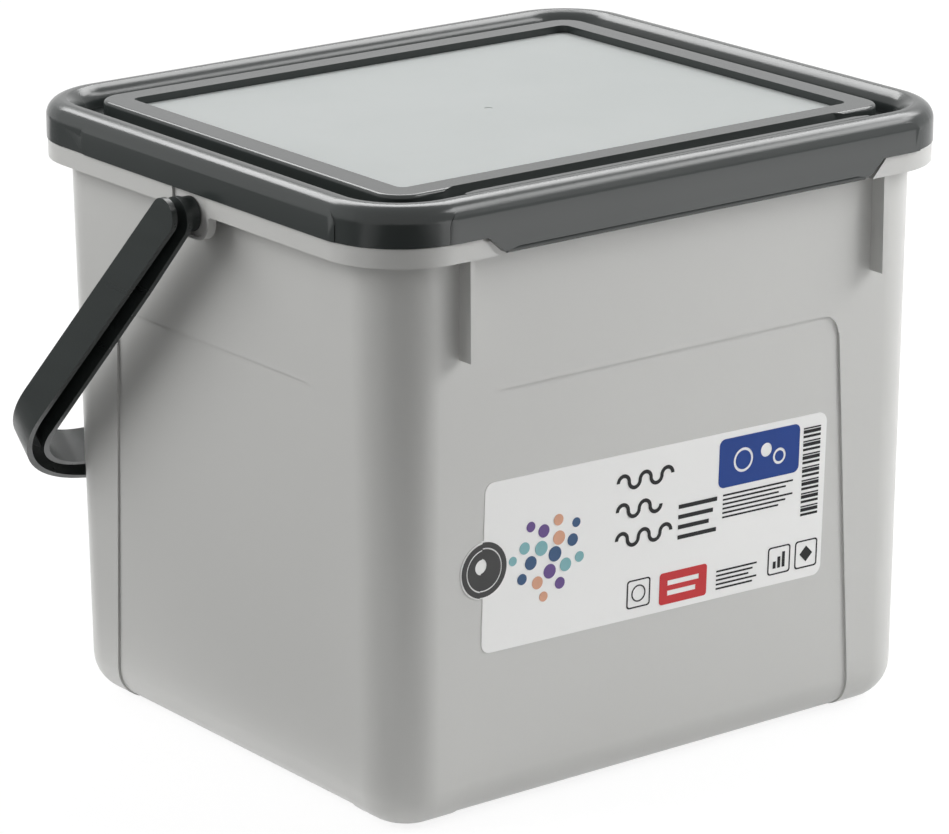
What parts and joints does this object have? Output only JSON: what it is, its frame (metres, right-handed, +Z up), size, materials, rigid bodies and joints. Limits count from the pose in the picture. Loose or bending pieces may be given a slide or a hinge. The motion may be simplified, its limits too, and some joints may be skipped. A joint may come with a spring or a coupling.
{
  "type": "laundry powder container",
  "caption": "Drafted rectangular plastic tub with a rimmed lift-off lid, a swinging carrying bail and a sticker on the front, for keeping laundry powder.",
  "frame": {"origin": "middle of the tub's flat standing face", "axes": "+Z up, -Y towards the front with the sticker and the lid's pull tab, +X along the bail's pivot axis"},
  "size_m": [0.2258, 0.1983, 0.18],
  "materials": {
    "tub": "pale grey moulded plastic, satin",
    "lid": "dark grey moulded plastic, satin",
    "lid_panel": "pale grey panel, satin",
    "handle": "dark grey moulded plastic, satin",
    "label": "white coated sticker with printed fields",
    "label_badge": "dark grey print",
    "label_blue": "blue print",
    "label_red": "red print",
    "label_black": "black print",
    "label_denim": "slate blue print",
    "label_teal": "blue-green print",
    "label_violet": "violet print",
    "label_peach": "peach print"
  },
  "bodies": {
    "tub": {"tub": "tub", "label": "label", "label_badge": "label_badge", "label_blue": "label_blue", "label_red": "label_red", "label_black": "label_black", "label_denim": "label_denim", "label_teal": "label_teal", "label_violet": "label_violet", "label_peach": "label_peach"},
    "lid": {"lid": "lid", "lid_panel": "lid_panel"},
    "handle": {"handle": "handle"}
  },
  "joints": [
    {"name": "handle_swing", "type": "hinge", "parent": "tub", "child": "handle", "pos_m": [0, 0, 0.1626], "axis": [1, 0, 0], "range_deg": [0, 270]},
    {"name": "lid_lift", "type": "slide", "parent": "tub", "child": "lid", "axis": [0, 0, 1], "range_m": [0, 0.06]}
  ]
}
